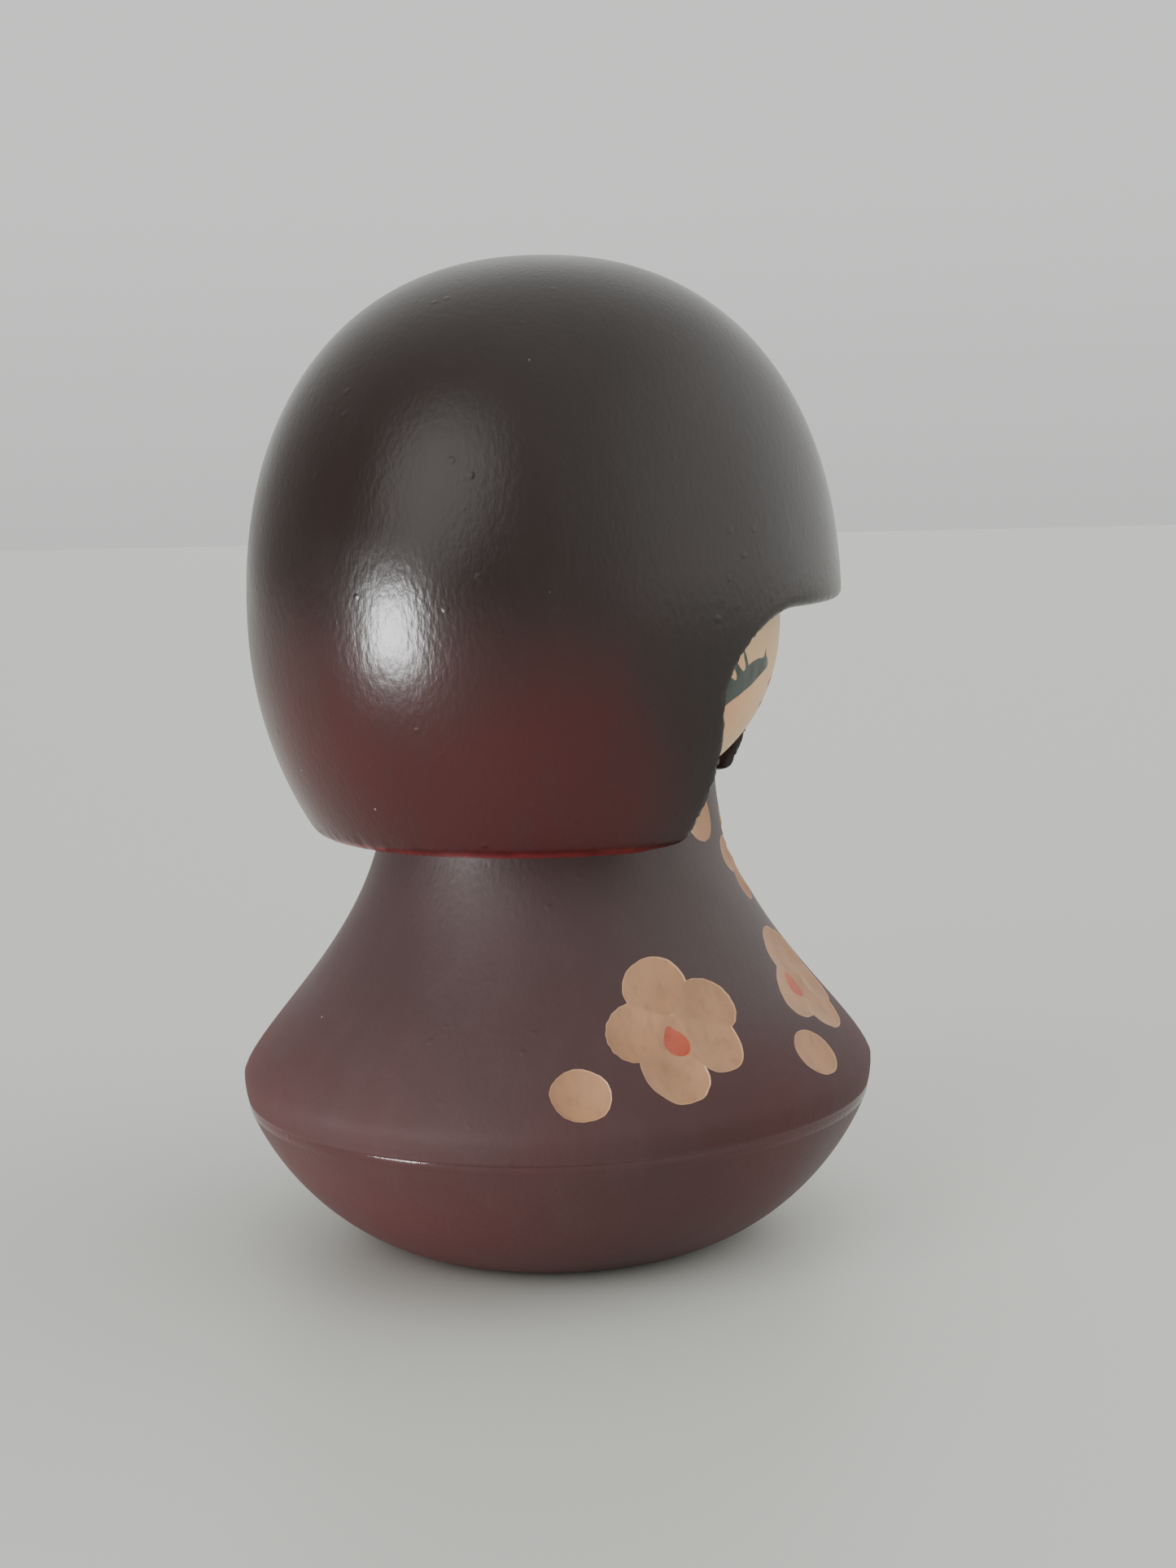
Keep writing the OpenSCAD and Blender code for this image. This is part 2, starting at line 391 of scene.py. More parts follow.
def decorated_mesh(name, surface, columns, bands, spots, sunk, kinds, fine, stops=()):
    """A turned mesh whose triangles follow the edges of the shapes drawn on it.

    bands = (s where the drawn stretch starts, where it ends, spacing of the rings). Each kind is
    (shapes, share): the faces within that share of the shapes' reach take the material slot of
    the kind's place in kinds, counted from 1. stops are distances that also get a ring.
    """
    start, end, spacing = bands
    turns = np.linspace(-180, 180, columns + 1)
    points, faces, slots = [], [], []

    def plain(values):
        """Rings of quads at the given distances, closed with a fan at an outline's end."""
        for a, b in zip(values[:-1], values[1:]):
            low, high = (np.interp(v, surface.s, surface.r) < 1e-6 for v in (a, b))
            base = sum(len(p) for p in points)
            ring_a = surface.points(turns[:-1], np.full(columns, a))
            ring_b = surface.points(turns[:-1], np.full(columns, b))
            points.append(ring_a[:1] if low else ring_a)
            other = base + len(points[-1])
            points.append(ring_b[:1] if high else ring_b)
            for i in range(columns):
                j = (i + 1) % columns
                if low:
                    faces.append((base, other + j, other + i))
                elif high:
                    faces.append((base + i, base + j, other))
                else:
                    faces.append((base + i, base + j, other + j, other + i))
                slots.append(0)

    course = np.arctan2(np.diff(surface.z), np.diff(surface.r))
    bends = [abs(math.remainder(b - a, 2 * math.pi)) for a, b in zip(course[:-1], course[1:])]
    corners = [0] + [k for k, bend in enumerate(bends, 1) if bend > CORNER_ANGLE] + [-1]
    corners = np.sort(np.concatenate((surface.s[corners], stops)))

    def rings(a, b):
        """Distances from a to b, evenly spaced between the outline's corners."""
        marks = [a] + [c for c in corners if a + 1e-6 < c < b - 1e-6] + [b]
        out = [a]
        for p, q in zip(marks[:-1], marks[1:]):
            out += list(np.linspace(p, q, max(2, int(math.ceil((q - p) / spacing)) + 1))[1:])
        return out

    plain(rings(0, start))
    plain(rings(end, surface.s[-1]))

    # The drawn stretch: a loose grid, a close one in the shapes, and the shapes' edges.
    rows = rings(start, end)
    grid = []
    for k, s in enumerate(rows):
        shift = 0.5 if k % 2 and 0 < k < len(rows) - 1 else 0.0
        t = turns + shift * 360 / columns
        if shift:
            t = np.concatenate(([-180], t[:-1], [180]))
        grid.append(np.column_stack((t, np.full(len(t), s))))
    grid = np.vstack(grid)
    edge = np.abs(np.abs(grid[:, 0]) - 180) < 1e-6
    edge |= (grid[:, 1] < start + 1e-6) | (grid[:, 1] > end - 1e-6)
    near = np.zeros(len(grid), bool)
    for p in spots:
        near |= p.reach(grid[:, 0], grid[:, 1]) < 1.08
    parts = [grid[edge | ~near]]
    taken = []
    for p in spots:
        count = max(10, int(2 * (p.across + p.along) / fine))
        t = p.turn + np.degrees(np.arange(-count, count + 1) * fine / p.radius)
        s = p.s + np.arange(-count, count + 1) * fine * 0.87
        t, s = np.meshgrid(t, s)
        t = t + np.degrees(fine / 2 / p.radius) * (np.arange(len(s))[:, None] % 2)
        t, s = t.ravel(), s.ravel()
        inside = p.reach(t, s) < 0.92
        for q in taken:
            inside &= q.reach(t, s) > 1.0
        for q in spots:
            inside &= np.abs(q.reach(t, s) - 1) > 0.06
        parts.append(np.column_stack((t[inside], s[inside])))
        taken.append(p)
    loops = []
    total = sum(len(p) for p in parts)
    for p in spots:
        count = int(2 * np.pi * max(p.across, p.along) / (fine * 0.8))
        for share in (1.0, EDGE_SHARE):
            ring = p.ring(share, count)
            loops += [(total + i, total + (i + 1) % count) for i in range(count)]
            parts.append(ring)
            total += count
    flat = np.vstack(parts)
    # The triangulation works in millimetres at the stretch's middle radius.
    scale = math.radians(1) * float(np.interp((start + end) / 2, surface.s, surface.r))
    verts, _, tris, *_ = delaunay_2d_cdt(
        [Vector((t * scale, s)) for t, s in flat], loops, [], 0, 1e-5, True
    )
    verts = np.array([(v.x / scale, v.y) for v in verts])
    tris = np.array(tris)
    base = sum(len(p) for p in points)
    points.append(surface.points(verts[:, 0], verts[:, 1], sunk(verts[:, 0], verts[:, 1])))
    middle = verts[tris].mean(1)
    kind = np.zeros(len(tris), int)
    for k, (shapes, share) in enumerate(kinds, 1):
        kind[inside_any(shapes, middle[:, 0], middle[:, 1], share)] = k
    # A turn grows clockwise seen from above, so the triangles are turned over.
    faces += [tuple(int(base + i) for i in t[::-1]) for t in tris]
    slots += [int(k) for k in kind]
    return build_mesh(name, np.vstack(points), faces, slots)


def build_mesh(name, points, faces, slots):
    """A smooth mesh in metres, welded, with sharp edges between materials and at corners."""
    rounded = np.round(points * 1e4).astype(np.int64)
    _, first, index = np.unique(rounded, axis=0, return_index=True, return_inverse=True)
    index = index.ravel()
    clean, kinds = [], []
    for face, kind in zip(faces, slots):
        face = [int(index[i]) for i in face]
        face = [v for k, v in enumerate(face) if v != face[k - 1]]
        if len(set(face)) > 2:
            clean.append(face)
            kinds.append(kind)
    mesh = bpy.data.meshes.new(name)
    mesh.from_pydata([Vector(p) * MM for p in points[first]], [], clean)
    mesh.polygons.foreach_set("material_index", kinds)
    mesh.polygons.foreach_set("use_smooth", [True] * len(clean))
    mark_sharp(mesh)
    mesh.validate()
    mesh.update()
    return mesh


def mark_sharp(mesh):
    """Marks edges that are steeper than SHARP_ANGLE or lie between two materials."""
    normals = np.array([p.normal for p in mesh.polygons])
    kinds = np.array([p.material_index for p in mesh.polygons])
    sides = {}
    for p in mesh.polygons:
        for key in p.edge_keys:
            sides.setdefault(key, []).append(p.index)
    limit = math.cos(math.radians(SHARP_ANGLE))
    sharp = np.zeros(len(mesh.edges), bool)
    for e in mesh.edges:
        pair = sides.get(e.key, ())
        if len(pair) == 2:
            sharp[e.index] = kinds[pair[0]] != kinds[pair[1]] or normals[pair[0]] @ normals[pair[1]] < limit
    attribute = mesh.attributes.new("sharp_edge", "BOOLEAN", "EDGE")
    attribute.data.foreach_set("value", sharp)


def make_body():
    bands = (on_body(BELLY_Z - 1.4), on_body(NECK_Z - 1.2), 0.75)
    # Close rings over the lip give its highlight a smooth edge.
    lip = [on_body(z) for z in np.linspace(EDGE_Z - LIP_H - 0.3, EDGE_Z - 0.03, 10)]
    return decorated_mesh(
        "carved_body", body_surface, 320, bands, petals + drops, carved_depth,
        [(petals, 1.0), (petals, EDGE_SHARE), (drops, 1.0)], 0.34, lip
    )


# ---------------------------------------------------------------- face


def on_face(z):
    return float(ball_surface.s_at(z, BORE_R + 5))


class Patch(Spot):
    """A painted shape with a free outline, given as (turn, height) on the face."""

    def __init__(self, outline, mirrored=False):
        t, z = np.array(outline, float).T
        if mirrored:
            t = -t
        s = np.array([on_face(v) for v in z])
        self.turn, self.s = t.mean(), s.mean()
        self.radius = float(np.interp(self.s, ball_surface.s, ball_surface.r))
        x = -np.radians(t - self.turn) * self.radius
        y = s - self.s
        closed = np.column_stack((x, y))
        if np.sum(x * np.roll(y, -1) - y * np.roll(x, -1)) < 0:
            closed = closed[::-1]
        self.line = closed
        self.across, self.along = np.abs(x).max(), np.abs(y).max()

    def smooth(self, count):
        """The closed outline as a Catmull-Rom curve, its points spaced evenly."""
        p = self.line
        out = []
        for i in range(len(p)):
            a, b, c, d = (p[(i + k) % len(p)] for k in (-1, 0, 1, 2))
            for t in np.linspace(0, 1, 12, endpoint=False):
                bend, twist = 2 * a - 5 * b + 4 * c - d, 3 * b - a - 3 * c + d
                out.append(0.5 * (2 * b + (c - a) * t + bend * t**2 + twist * t**3))
        out = np.array(out + out[:1])
        far = np.concatenate(([0], np.cumsum(np.hypot(*np.diff(out, axis=0).T))))
        at = np.linspace(0, far[-1], count, endpoint=False)
        return np.column_stack((np.interp(at, far, out[:, 0]), np.interp(at, far, out[:, 1])))

    def reach(self, turn, s):
        x = np.radians(turn - self.turn) * -self.radius
        y = s - self.s
        edge = self.smooth(160)
        inside = np.zeros(len(x), bool)
        nearest = np.full(len(x), 1e9)
        for (ax, ay), (bx, by) in zip(edge, np.roll(edge, -1, axis=0)):
            crosses = (ay > y) != (by > y)
            with np.errstate(divide="ignore", invalid="ignore"):
                inside ^= crosses & (x < (bx - ax) * (y - ay) / (by - ay) + ax)
            nearest = np.minimum(nearest, np.hypot(x - ax, y - ay))
        size = min(self.across, self.along)
        return np.where(inside, 1 - nearest / size, 1 + nearest / size)

    def ring(self, share, count):
        edge = self.smooth(count)
        if share < 1:
            ahead = np.roll(edge, -1, axis=0) - np.roll(edge, 1, axis=0)
            inward = np.column_stack((-ahead[:, 1], ahead[:, 0])) / np.hypot(*ahead.T)[:, None]
            edge = edge + inward * 0.05
        return np.column_stack((self.turn - np.degrees(edge[:, 0] / self.radius), self.s + edge[:, 1]))


# The right eye follows points traced in the photo, and the left eye mirrors it.
EYE = [
    (11.8, 58.9), (12.3, 59.5), (13.5, 59.9), (15.0, 60.1), (17.0, 59.95), (19.1, 60.0), (21.0, 59.9),
    (22.7, 59.75), (24.2, 59.5), (25.7, 59.1), (27.3, 58.8), (29.5, 58.1), (32.0, 57.1), (34.4, 55.8),
    (35.8, 54.8), (32.8, 55.2), (29.3, 56.0), (26.0, 56.5), (23.4, 56.95), (20.4, 57.4), (16.8, 58.1),
    (14.2, 58.5),
]
LASHES = [
    [(24.1, 59.2), (25.5, 60.2), (26.6, 60.8), (27.4, 61.1), (26.9, 60.3), (25.9, 59.6), (25.5, 58.9)],
    [(26.3, 58.8), (28.0, 59.35), (30.0, 60.0), (31.6, 60.5), (30.7, 59.5), (29.2, 58.7), (28.6, 58.2)],
    [(29.1, 58.0), (30.6, 58.4), (32.6, 58.9), (34.4, 59.1), (33.2, 58.1), (31.6, 57.1)],
    [(14.0, 59.8), (14.7, 60.4), (15.1, 60.9), (15.5, 60.4), (16.0, 59.8)],
]
NOSE = [
    (5.6, 57.1), (3.4, 57.5), (0.0, 57.6), (-3.4, 57.5), (-5.6, 57.1), (-3.2, 56.6), (0.0, 56.4), (3.2, 56.6),
]
MOUTH = [(6.0, 55.0), (2.6, 55.1), (0.0, 54.85), (-2.6, 55.1), (-6.0, 55.0), (-2.8, 54.4), (2.8, 54.4)]


def make_ball():
    eyes = [Patch(shape, side) for side in (False, True) for shape in [EYE] + LASHES]
    nose, mouth = [Patch(NOSE)], [Patch(MOUTH)]
    bands = (on_face(52.5), on_face(62.5), 0.6)
    return decorated_mesh(
        "face", ball_surface, 240, bands, eyes + nose + mouth, lambda t, s: np.zeros(len(t)),
        [(eyes, 1.0), (nose, 1.0), (mouth, 1.0)], 0.3
    )


# ---------------------------------------------------------------- hair

FRINGE_Z = 65.3
OPENING_W = 21.1
TIPS_W = 18.3
CORNER_R = 7.6
TIP_R = 1.4
LEFT_LOCK_RISE = 2.7  # how much higher the doll's left lock ends
TRIM_FLAT = 6.0  # the trim under that lock is level from its tip to here, and then runs out
EDGE_ROUND = 0.9  # rounding along the edges of the face opening
TRIM_ROUND = 0.6  # rounding along the trim under that lock
CHIP_DEPTH = 0.04
CELL = 0.5  # size of the grid that the hair's surface is drawn from


def hair_outline():
    """Cross-section of the hair's shell, closed, as (radius, height)."""
    rim_top = RIM_Z + RIM_ROUND * (1 - math.sin(RIM_LEAN))
    rim_r = float(oval_r(HAIR_R, HAIR_DROP, rim_top, 2)) - RIM_ROUND * math.cos(RIM_LEAN)
    b = np.linspace(np.pi / 2, RIM_LEAN, 12)
    rim = np.column_stack((rim_r + RIM_ROUND * np.cos(b), RIM_Z + RIM_ROUND * (1 - np.sin(b))))
    z = HEAD_Z - (HEAD_Z - rim_top) * np.cos(np.linspace(0, np.pi / 2, 40)[1:])
    lower = np.column_stack((oval_r(HAIR_R, HAIR_DROP, z, 2), z))
    z = HEAD_Z + (HAIR_TOP - HEAD_Z) * np.sin(np.linspace(0, np.pi / 2, 90)[1:])
    upper = np.column_stack((oval_r(HAIR_R, HAIR_TOP - HEAD_Z, z, HAIR_FULL), z))
    z = HEAD_Z + (CROWN_Z - HEAD_Z) * np.sin(np.linspace(np.pi / 2, 0, 60))
    dome = np.column_stack((oval_r(BALL_R, CROWN_Z - HEAD_Z, z, 2), z))
    z = np.linspace(HEAD_Z, RIM_Z + INNER_ROUND, 30)[1:]
    hollow = np.column_stack((oval_r(BALL_R, HOLLOW_DROP, z, 2), z))
    inner = hollow[-1, 0]
    a = np.linspace(0, np.pi / 2, 12)[1:]
    lip = np.column_stack((inner + INNER_ROUND * (1 - np.cos(a)), RIM_Z + INNER_ROUND * (1 - np.sin(a))))
    return np.vstack((rim, lower, upper, dome, hollow, lip))


def opening_outline():
    """The face opening seen from the front, closed, as (x, height)."""
    centre = np.array((OPENING_W - CORNER_R, FRINGE_Z - CORNER_R))
    a = np.linspace(0, np.pi / 2, 24)
    corner = centre + CORNER_R * np.column_stack((np.sin(a), np.cos(a)))
    b = np.linspace(0, np.pi / 2, 10)
    tip = np.column_stack((TIPS_W + TIP_R * (1 - np.cos(b)), RIM_Z + TIP_R * (1 - np.sin(b))))
    half = np.vstack((corner, tip, [(TIPS_W + TIP_R, RIM_Z - 5)]))
    return np.vstack((half, half[::-1] * (-1, 1)))


def distance_table(outline, low, high, step):
    """Signed distances to a closed outline on a grid, negative inside."""
    xs = np.arange(low[0], high[0] + step, step)
    ys = np.arange(low[1], high[1] + step, step)
    x, y = np.meshgrid(xs, ys, indexing="ij")
    far = np.full(x.shape, 1e9)
    inside = np.zeros(x.shape, bool)
    for (ax, ay), (bx, by) in zip(outline, np.roll(outline, -1, axis=0)):
        dx, dy = bx - ax, by - ay
        t = np.clip(((x - ax) * dx + (y - ay) * dy) / max(dx * dx + dy * dy, 1e-12), 0, 1)
        far = np.minimum(far, np.hypot(x - ax - t * dx, y - ay - t * dy))
        if ay != by:
            inside ^= ((ay > y) != (by > y)) & (x < dx * (y - ay) / dy + ax)
    return xs[0], ys[0], step, np.where(inside, -far, far)


def look_up(table, x, y):
    """Smooth reading of a distance table."""
    x0, y0, step, values = table
    u = np.clip((x - x0) / step, 0, values.shape[0] - 1.001)
    v = np.clip((y - y0) / step, 0, values.shape[1] - 1.001)
    i, j = u.astype(int), v.astype(int)
    u, v = u - i, v - j
    a = values[i, j] * (1 - u) + values[i + 1, j] * u
    b = values[i, j + 1] * (1 - u) + values[i + 1, j + 1] * u
    return a * (1 - v) + b * v


def surface_net(solid, low, high, step):
    """Quads over a solid given by signed distance, with vertices drawn onto its surface."""
    axes = [np.arange(a, b + step, step) for a, b in zip(low, high)]
    values = np.stack([solid(*np.meshgrid([x], axes[1], axes[2], indexing="ij"))[0] for x in axes[0]])
    inside = values < 0
    shape = np.array(values.shape)
    sums = np.zeros(tuple(shape - 1) + (3,))
    counts = np.zeros(tuple(shape - 1))
    crossings = []
    for axis in range(3):
        a = [slice(None)] * 3
        b = [slice(None)] * 3
        a[axis], b[axis] = slice(0, -1), slice(1, None)
        change = inside[tuple(a)] != inside[tuple(b)]
        at = np.argwhere(change)
        va, vb = values[tuple(a)][change], values[tuple(b)][change]
        place = at.astype(float)
        place[:, axis] += va / (va - vb)
        u, v = [k for k in range(3) if k != axis]
        corners = []
        for du, dv in ((0, 0), (1, 0), (1, 1), (0, 1)):
            cell = at.copy()
            cell[:, u] -= du
            cell[:, v] -= dv
            corners.append(cell)
            np.add.at(sums, tuple(cell.T), place)
            np.add.at(counts, tuple(cell.T), 1)
        crossings.append((corners, va < 0, axis))
    used = counts > 0
    number = np.cumsum(used).reshape(used.shape) - 1
    points = sums[used] / counts[used][:, None] * step + low
    faces = []
    for corners, leaving, axis in crossings:
        quad = np.column_stack([number[tuple(c.T)] for c in corners])
        over = leaving == (axis == 1)
        quad[over] = quad[over][:, ::-1]
        faces.append(quad)
    faces = np.vstack(faces)
    # Each round evens the vertices out and draws them back onto the surface.
    for fairing in (0.5, 0.5, 0.5, 0.4, 0.3, 0.2, 0, 0):
        if fairing:
            middles = points[faces].mean(1)
            total, count = np.zeros_like(points), np.zeros(len(points))
            for k in range(4):
                np.add.at(total, faces[:, k], middles)
                np.add.at(count, faces[:, k], 1)
            points = points + fairing * (total / count[:, None] - points)
        f = solid(*points.T)
        small = 0.02
        ahead = [solid(*(points + small * e).T) for e in np.eye(3)]
        behind = [solid(*(points - small * e).T) for e in np.eye(3)]
        slope = (np.column_stack(ahead) - np.column_stack(behind)) / (2 * small)
        points = points - (f / np.maximum((slope**2).sum(1), 0.1))[:, None] * slope
    return points, faces


def make_hair():
    shell = distance_table(hair_outline(), (-2, RIM_Z - 4), (HAIR_R + 4, HAIR_TOP + 4), 0.2)
    opening = distance_table(opening_outline(), (-HAIR_R - 4, RIM_Z - 4), (HAIR_R + 4, HAIR_TOP + 4), 0.2)

    def both(a, b, edge):
        """Where two shapes overlap, with the edge between them rounded."""
        u, v = np.maximum(edge + a, 0), np.maximum(edge + b, 0)
        return np.minimum(-edge, np.maximum(a, b)) + np.hypot(u, v)

    def solid(x, y, z):
        a = look_up(shell, np.hypot(x, y), z)
        turn = np.arctan2(-x, -y)
        # Small chips along the rim, at the back on the doll's right.
        chips = sum(np.maximum(0, np.sin(k * turn + 1.7 * k)) ** 4 for k in (37, 59, 83)) * (turn > 1.9)
        a = a + CHIP_DEPTH * chips * np.exp(-(((z - RIM_Z - 0.9) / 0.8) ** 2))
        b = -np.maximum(look_up(opening, x, z), y + 4)
        rise = LEFT_LOCK_RISE * np.minimum(1, (TRIM_FLAT - y) / (2 * TRIM_FLAT))
        trim = RIM_Z + rise - z - 2 * np.maximum(0, 5 - x)
        return both(both(a, b, EDGE_ROUND), trim, TRIM_ROUND)

    margin = 2 * CELL
    low = np.array((-HAIR_R, -HAIR_R, RIM_Z)) - margin
    high = np.array((HAIR_R, HAIR_R, HAIR_TOP)) + margin
    points, quads = surface_net(solid, low, high, CELL)
    return build_mesh("hair", points, quads.tolist(), [0] * len(quads))


# ---------------------------------------------------------------- materials

WORN_TO = 29.0  # height where the body's dull shoulder fades out


class Nodes:
    """A small helper for building a material's nodes."""

    def __init__(self, name):
        self.material = bpy.data.materials.new(name)
        self.material.use_nodes = True
        self.tree = self.material.node_tree
        self.shader = next(n for n in self.tree.nodes if n.type == "BSDF_PRINCIPLED")
        self.place = self.add("ShaderNodeTexCoord").outputs["Object"]

    def add(self, kind, **settings):
        node = self.tree.nodes.new(kind)
        for key, value in settings.items():
            setattr(node, key, value)
        return node

    def link(self, value, socket):
        if isinstance(value, bpy.types.NodeSocket):
            self.tree.links.new(value, socket)
        else:
            socket.default_value = value

    def stretched(self, x, y, z):
        node = self.add("ShaderNodeMapping")
        self.link(self.place, node.inputs["Vector"])
        node.inputs["Scale"].default_value = (x, y, z)
        return node.outputs["Vector"]

    def noise(self, scale, detail=4.0, rough=0.5, place=None, distortion=0.0):
        node = self.add("ShaderNodeTexNoise")
        self.link(place or self.place, node.inputs["Vector"])
        node.inputs["Scale"].default_value = scale
        node.inputs["Detail"].default_value = detail
        node.inputs["Roughness"].default_value = rough
        node.inputs["Distortion"].default_value = distortion
        return node.outputs["Fac"]

    def cells(self, scale):
        node = self.add("ShaderNodeTexVoronoi")
        self.link(self.place, node.inputs["Vector"])
        node.inputs["Scale"].default_value = scale
        return node.outputs["Distance"]

    def span(self, value, low, high, to_low=0.0, to_high=1.0):
        node = self.add("ShaderNodeMapRange", interpolation_type="SMOOTHSTEP")
        self.link(value, node.inputs["Value"])
        for key, v in (("From Min", low), ("From Max", high), ("To Min", to_low), ("To Max", to_high)):
            node.inputs[key].default_value = v
        return node.outputs["Result"]

    def maths(self, operation, a, b):
        node = self.add("ShaderNodeMath", operation=operation)
        self.link(a, node.inputs[0])
        self.link(b, node.inputs[1])
        return node.outputs[0]

    def mix(self, factor, a, b):
        node = self.add("ShaderNodeMix", data_type="RGBA")
        self.link(factor, node.inputs["Factor"])
        self.link((*a, 1) if isinstance(a, tuple) else a, node.inputs[6])
        self.link((*b, 1) if isinstance(b, tuple) else b, node.inputs[7])
        return node.outputs[2]

    def along(self, axis):
        node = self.add("ShaderNodeSeparateXYZ")
        self.link(self.place, node.inputs[0])
        return node.outputs[axis]

    def height(self):
        return self.along("Z")

    def depth(self):
        return self.along("Y")

    def band(self, value, low, high, blur):
        """1 between two heights in millimetres, fading to 0 outside them."""
        rise = self.span(value, (low - blur) * MM, low * MM)
        return self.maths("MULTIPLY", rise, self.span(value, (high + blur) * MM, high * MM))

    def bump(self, value, strength, distance, below=None):
        node = self.add("ShaderNodeBump")
        node.inputs["Strength"].default_value = strength
        node.inputs["Distance"].default_value = distance * MM
        self.link(value, node.inputs["Height"])
        if below:
            self.link(below, node.inputs["Normal"])
        return node.outputs["Normal"]

    def finish(self, colour, roughness, normal=None, **fixed):
        self.link(colour, self.shader.inputs["Base Color"])
        self.link(roughness, self.shader.inputs["Roughness"])
        if normal:
            self.link(normal, self.shader.inputs["Normal"])
        for key, value in fixed.items():
            self.shader.inputs[key.replace("_", " ").title().replace("Ior", "IOR")].default_value = value
        return self.material


def lacquer(name, dark, red, red_from, red_to, red_back, rough, rim=None):
    """Brown-black lacquer over red, with the red showing through where it is thin.

    The red grows from height red_from to red_to, and from red_back[0] to red_back[1] along Y.
    """
    n = Nodes(name)
    height = n.height()
    clouds = n.noise(34, 3, 0.5, n.stretched(1, 1, 0.8))
    behind = n.span(n.depth(), *(v * MM for v in red_back))
    low = n.maths("MULTIPLY", n.span(height, red_from * MM, red_to * MM), behind)
    thin = n.maths("ADD", n.maths("MULTIPLY", clouds, 0.7), n.maths("MULTIPLY", low, 0.55))
    share = n.span(thin, 0.42, 0.98)
    colour = n.mix(share, dark, red)
    streaks = n.noise(300, 4, 0.6, n.stretched(1, 1, 0.3))
    colour = n.mix(n.span(streaks, 0.4, 0.85, 0, 0.3), colour, tuple(1.4 * c + 0.004 for c in dark))
    roughness = n.span(n.noise(70, 3), 0.3, 0.7, rough - 0.03, rough + 0.04)
    if rim:
        edge = n.maths("ADD", height, n.maths("MULTIPLY", n.noise(500, 3), 0.8 * MM))
        colour = n.mix(n.span(edge, (rim + 1.3) * MM, (rim + 0.5) * MM), colour, (0.17, 0.02, 0.022))
    else:
        # Handling has dulled the shoulder; the lip below it has kept its shine.
        above = n.span(height, EDGE_Z * MM, (EDGE_Z + 0.6) * MM)
        worn = n.maths("MULTIPLY", above, n.span(height, WORN_TO * MM, BELLY_Z * MM))
        roughness = n.maths("ADD", roughness, n.maths("MULTIPLY", worn, 0.25))
        shiny = n.band(height, EDGE_Z - 0.75, EDGE_Z, 0.3)
        roughness = n.maths("SUBTRACT", roughness, n.maths("MULTIPLY", shiny, rough - 0.13))
    specks = n.span(n.cells(230), 0.035, 0.02)
    colour = n.mix(n.maths("MULTIPLY", specks, n.span(n.noise(90), 0.55, 0.6)), colour, (0.22, 0.16, 0.14))
    nibs = n.maths("MULTIPLY", n.span(n.cells(420), 0.2, 0.08), n.span(n.noise(160, 1), 0.58, 0.62))
    grit = n.bump(nibs, 0.6, 0.05)
    peel = n.bump(n.noise(1900, 2, 0.5, n.stretched(1, 1, 0.5)), 0.7, 0.045, grit)
    waves = n.bump(n.noise(150, 2, 0.4), 0.4, 0.09, peel)
    return n.finish(colour, roughness, waves, specular_ior_level=0.4)


def bare_wood(name, light, dark, grain, roughness, sheen=0.0, blush=None):
    """Pale close-grained wood, with the grain along the turning axis."""
    n = Nodes(name)
    fibres = n.noise(900, 4, 0.6, n.stretched(1, 1, 0.06))
    rings = n.noise(160, 3, 0.5, n.stretched(1, 1, 0.1), 0.4)
    colour = n.mix(n.span(rings, 0.3, 0.75), light, dark)
    colour = n.mix(n.span(fibres, 0.45, 0.8, 0, grain), colour, tuple(0.6 * c for c in dark))
    blotch = n.span(n.noise(120, 4, 0.6), 0.35, 0.75, 0, 0.35)
    colour = n.mix(blotch, colour, tuple(0.8 * c for c in dark))
    if blush:
        colour = blushed(n, colour, *blush)
    normal = n.bump(fibres, 0.3, 0.04)
    gloss = n.span(rings, 0.3, 0.8, roughness - 0.06, roughness + 0.06)
    return n.finish(colour, gloss, normal, coat_weight=sheen, coat_roughness=0.3)


def blushed(n, colour, turn, height, size, tint):
    """A soft patch of colour on both cheeks."""
    a = math.radians(turn)
    patch = None
    for side in (-1, 1):
        node = n.add("ShaderNodeVectorMath", operation="DISTANCE")
        n.link(n.place, node.inputs[0])
        cheek = (side * math.sin(a) * BALL_R, -math.cos(a) * BALL_R, height)
        node.inputs[1].default_value = [v * MM for v in cheek]
        near = n.span(node.outputs["Value"], size * MM, 0.2 * size * MM)
        patch = near if patch is None else n.maths("MAXIMUM", patch, near)
    return n.mix(n.maths("MULTIPLY", patch, 0.6), colour, tint)


def paint(name, colour, second, roughness):
    """Brushed water colour over wood."""
    n = Nodes(name)
    brushed = n.noise(700, 4, 0.6, n.stretched(1, 1, 0.4))
    mixed = n.mix(n.span(brushed, 0.35, 0.75), colour, second)
    gloss = n.span(brushed, 0.3, 0.8, roughness - 0.08, roughness + 0.08)
    return n.finish(mixed, gloss, n.bump(brushed, 0.3, 0.03))


body_lacquer = lacquer(
    "body_lacquer", (0.046, 0.024, 0.024), (0.080, 0.020, 0.021), 60, -10, (-60, -40), 0.46
)
hair_lacquer = lacquer(
    "hair_lacquer", (0.017, 0.010, 0.009), (0.052, 0.007, 0.008), 80, 46, (-24, -8), 0.25, RIM_Z
)
petal_wood = bare_wood("petal_wood", (0.45, 0.235, 0.12), (0.36, 0.18, 0.09), 0.45, 0.55)
petal_edge = bare_wood("petal_edge", (0.60, 0.35, 0.20), (0.50, 0.28, 0.155), 0.2, 0.5)
face_wood = bare_wood(
    "face_wood", (0.71, 0.44, 0.215), (0.67, 0.395, 0.19), 0.15, 0.45, 0.1, (30, 54, 8, (0.74, 0.34, 0.17))
)
dowel_wood = bare_wood("dowel_wood", (0.60, 0.44, 0.28), (0.50, 0.35, 0.22), 0.6, 0.6)
